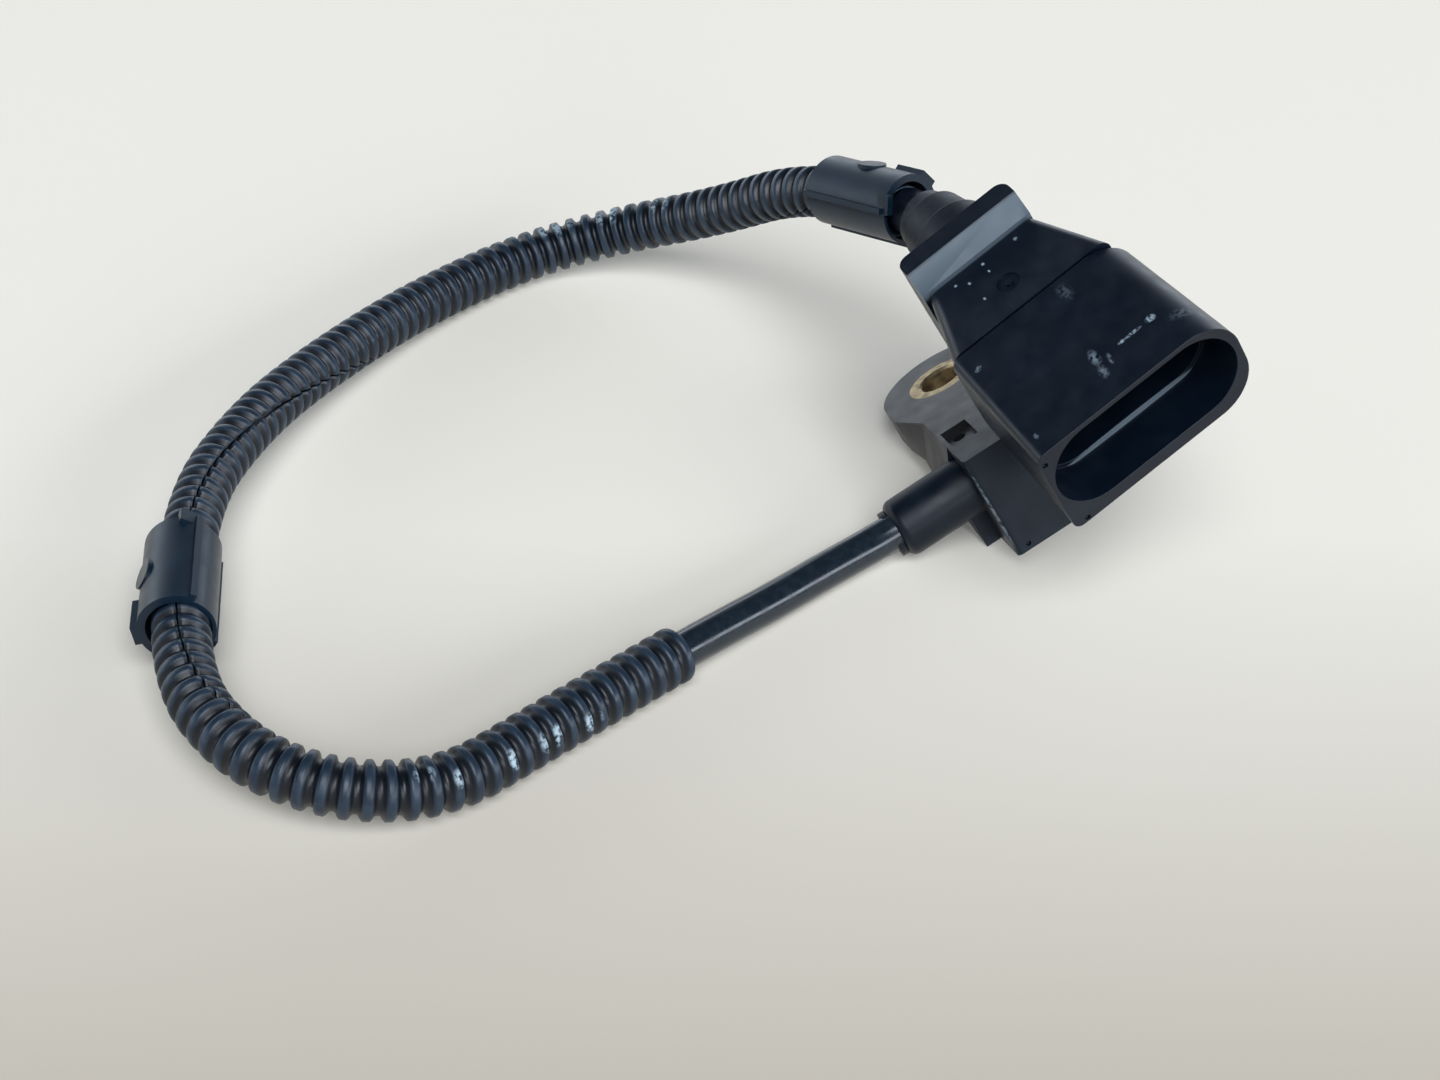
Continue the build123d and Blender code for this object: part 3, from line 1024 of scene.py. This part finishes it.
        height = self.rib_heights(tree, given, along)
        marked = add_node(
            tree,
            "GeometryNodeStoreNamedAttribute",
            {
                "Geometry": self.turned_line(tree, given, along),
                "Name": RIB_HEIGHT,
                "Value": height,
            },
            data_type="FLOAT",
            domain="POINT",
        )
        root_share = add_node(
            tree,
            "ShaderNodeMath",
            {0: given["Root Radius"], 1: given["Crest Radius"]},
            operation="DIVIDE",
        )
        scale = add_node(
            tree,
            "ShaderNodeMapRange",
            {"Value": height, "To Min": root_share.outputs[0], "To Max": 1.0},
        )
        tube = add_node(
            tree,
            "GeometryNodeCurveToMesh",
            {
                "Curve": marked.outputs[0],
                "Profile Curve": self.open_ring(tree, given),
                "Scale": scale.outputs[0],
            },
        )
        smooth = add_node(tree, "GeometryNodeSetShadeSmooth", {0: tube.outputs[0]})
        whole = add_node(tree, "GeometryNodeRealizeInstances", {0: smooth.outputs[0]})
        dressed = add_node(
            tree,
            "GeometryNodeSetMaterial",
            {0: whole.outputs[0], "Material": given["Material"]},
        )
        add_node(tree, "NodeGroupOutput", {0: dressed.outputs[0]})
        return tree

    def build(self, cable: Cable) -> bpy.types.Object:
        """Make the conduit round a cable.

        Args:
            cable: What it follows.

        Returns:
            The conduit as a plain mesh.
        """
        line = cable.line("conduit_line")
        ribs = line.modifiers.new("ribs", "NODES")
        ribs.node_group = self.tree()
        values = {
            "Start": self.start_mm * MM,
            "End": self.end_mm * MM,
            "Pitch": self.pitch_mm * MM,
            "Crest Radius": self.crest_mm * MM,
            "Root Radius": self.root_mm * MM,
            "Slit Width": self.slit_mm * MM,
            "Ring Gap": self.pitch_mm * MM / self.rings_per_rib,
            "Sides": self.sides,
            "Material": self.finish.build(),
        }
        for item in ribs.node_group.interface.items_tree:
            if item.in_out == "INPUT" and item.name in values:
                ribs[item.identifier] = values[item.name]
        mesh = plain_mesh(line, "conduit_ribbed")
        conduit = bpy.data.objects.new("conduit_ribbed", mesh)
        bpy.context.collection.objects.link(conduit)
        wall = conduit.modifiers.new("wall", "SOLIDIFY")
        wall.thickness = self.wall_mm * MM
        wall.offset = -1.0
        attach(conduit, "root")
        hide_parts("conduit")
        LOG.info("conduit: %s, a rib every %.1f mm", self.finish.name, self.pitch_mm)
        return conduit


def plain_mesh(source: bpy.types.Object, name: str) -> bpy.types.Mesh:
    """Turn an object with its modifiers into a plain mesh, and delete the object.

    Args:
        source: The object.
        name: The new mesh's name.

    Returns:
        The mesh.
    """
    ready = source.evaluated_get(bpy.context.evaluated_depsgraph_get())
    mesh = bpy.data.meshes.new_from_object(ready)
    mesh.name = name
    bpy.data.objects.remove(source)
    return mesh


@dataclass(frozen=True)
class PhotoCamera:
    """The camera at the photograph's place, in the row's frame."""

    place_mm: tuple[float, float, float] = (-180.9, -267.6, 235.2)
    heading_degrees: float = 28.0
    down_degrees: float = 37.5
    roll_degrees: float = 2.5
    focal_px: float = 2645.0
    width_px: float = 1440.0
    sensor_mm: float = 36.0
    nearest: float = 0.01
    farthest: float = 20.0

    def build(self) -> bpy.types.Object:
        """Make the camera and use it for the scene.

        Returns:
            The camera object.
        """
        heading = math.radians(self.heading_degrees)
        down = math.radians(self.down_degrees)
        roll = math.radians(self.roll_degrees)
        level = math.cos(down)
        right = Vector((math.cos(heading), -math.sin(heading), 0.0))
        ahead = Vector((math.sin(heading) * level, math.cos(heading) * level, -math.sin(down)))
        up = right.cross(ahead)
        across = right * math.cos(roll) + up * math.sin(roll)
        upward = up * math.cos(roll) - right * math.sin(roll)
        data = bpy.data.cameras.new("photo camera")
        data.sensor_width = self.sensor_mm
        data.lens = self.focal_px / self.width_px * self.sensor_mm
        data.clip_start = self.nearest
        data.clip_end = self.farthest
        camera = bpy.data.objects.new("photo camera", data)
        bpy.context.collection.objects.link(camera)
        turn = Matrix((across, upward, -ahead)).transposed().to_4x4()
        camera.matrix_world = Matrix.Translation(Vector(self.place_mm) * MM) @ turn
        bpy.context.scene.camera = camera
        return camera


@dataclass(frozen=True)
class SoftLamp:
    """A wide lamp that faces the object."""

    name: str
    watts: float
    width: float
    height: float
    place: tuple[float, float, float]
    aim: tuple[float, float, float] = (-0.04, 0.02, 0.0)
    colour: str = "EEF5FF"

    def build(self) -> None:
        """Make the lamp and turn it to its aim."""
        data = bpy.data.lights.new(self.name, "AREA")
        data.energy = self.watts
        data.color = linear(self.colour)[:3]
        data.shape = "RECTANGLE"
        data.size = self.width
        data.size_y = self.height
        lamp = bpy.data.objects.new(self.name, data)
        bpy.context.collection.objects.link(lamp)
        lamp.location = self.place
        ahead = Vector(self.aim) - lamp.location
        lamp.rotation_euler = ahead.to_track_quat("-Z", "Y").to_euler()


@dataclass(frozen=True)
class Studio:
    """A pale floor with painted shade near the camera, a lamp overhead, a low one in front, and
    walls bright near the floor.
    """

    # Matt paint hides every reflection. It is darker near the camera, which is painted shade: its
    # two colours, and where one turns into the other, measured along the floor away from the
    # camera
    floor_far: str = "F4ECDD"
    floor_near_shade: str = "B9AE9B"
    floor_away: tuple[float, float, float] = (0.4, 0.9, 0.0)
    floor_near_ends_mm: float = -140.0
    floor_far_starts_mm: float = -10.0
    floor_roughness: float = 0.7
    floor_half_size: float = 3.0
    lamps: tuple[SoftLamp, ...] = (
        SoftLamp("high front lamp", 402.0, 4.2, 4.2, (-1.3, -3.6, 4.8)),
        SoftLamp("low front window", 226.0, 7.5, 1.5, (2.4, -4.8, 1.75)),
    )
    wall_colour: str = "CFDAE6"
    front_wall_strength: float = 0.8
    back_wall_strength: float = 3.0
    # The front wall's light turns into the back wall's over this share before and behind
    side_share: float = 0.5
    # The walls fade into the ceiling between these heights of the view
    wall_top: float = 0.2
    ceiling_edge: float = 0.5
    ceiling_share: float = 0.03

    def build(self) -> None:
        """Make the floor, the lamps and the walls round them."""
        self.floor()
        for lamp in self.lamps:
            lamp.build()
        bpy.context.scene.world = self.walls()

    def floor(self) -> bpy.types.Object:
        """Make the floor.

        Returns:
            The floor's object.
        """
        half = self.floor_half_size
        mesh = bpy.data.meshes.new("floor")
        corners = [(-half, -half, 0), (half, -half, 0), (half, half, 0), (-half, half, 0)]
        mesh.from_pydata(corners, [], [(0, 1, 2, 3)])
        floor = bpy.data.objects.new("floor", mesh)
        bpy.context.collection.objects.link(floor)
        paint = bpy.data.materials.new("pale painted floor")
        surface = Surface.start(paint)
        surface.shader.inputs["Roughness"].default_value = self.floor_roughness
        away = add_node(
            surface.tree,
            "ShaderNodeVectorMath",
            {0: surface.place_mm, 1: self.floor_away},
            operation="DOT_PRODUCT",
        )
        share = add_node(
            surface.tree,
            "ShaderNodeMapRange",
            {
                "Value": away.outputs["Value"],
                "From Min": self.floor_near_ends_mm,
                "From Max": self.floor_far_starts_mm,
            },
        )
        surface.lay_coats(self.floor_near_shade, [(share.outputs["Result"], self.floor_far)])
        mesh.materials.append(paint)
        return floor

    def walls(self) -> bpy.types.World:
        """Make the room's walls and its dark ceiling.

        Returns:
            The new world.
        """
        world = bpy.data.worlds.new("soft surround")
        world.use_nodes = True
        tree = world.node_tree
        back = tree.nodes["Background"]
        back.inputs["Color"].default_value = linear(self.wall_colour)
        look = add_node(tree, "ShaderNodeTexCoord").outputs["Generated"]
        parts = add_node(tree, "ShaderNodeSeparateXYZ", {0: look}).outputs
        wall = add_node(
            tree,
            "ShaderNodeMapRange",
            {
                "Value": parts["Y"],
                "From Min": -self.side_share,
                "From Max": self.side_share,
                "To Min": self.front_wall_strength,
                "To Max": self.back_wall_strength,
            },
        )
        height = add_node(
            tree,
            "ShaderNodeMapRange",
            {
                "Value": parts["Z"],
                "From Min": self.wall_top,
                "From Max": self.ceiling_edge,
                "To Min": 1.0,
                "To Max": self.ceiling_share,
            },
        )
        strength = add_node(
            tree,
            "ShaderNodeMath",
            {0: wall.outputs["Result"], 1: height.outputs["Result"]},
            operation="MULTIPLY",
        )
        tree.links.new(strength.outputs[0], back.inputs["Strength"])
        return world


def main() -> None:
    """Load the frame, dress every piece and set up the picture."""
    logging.basicConfig(level=logging.INFO, format="%(name)s: %(message)s")
    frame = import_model()
    bpy.context.scene.view_settings.view_transform = "Standard"
    PhotoCamera().build()
    Studio().build()

    shown: dict[str, bpy.types.Object] = {}
    for assembly in (SensorHead(), Plug(), HarnessClips(), Contacts()):
        shown.update(assembly.build(frame))
    cable = Cable()
    shown["cable_jacket"] = cable.build()
    shown["conduit"] = Conduit().build(cable)
    InnerPieces().dress(frame, shown)

    LOG.info("made %d pieces for the solids that they stand for", len(shown))


if __name__ == "__main__":
    main()
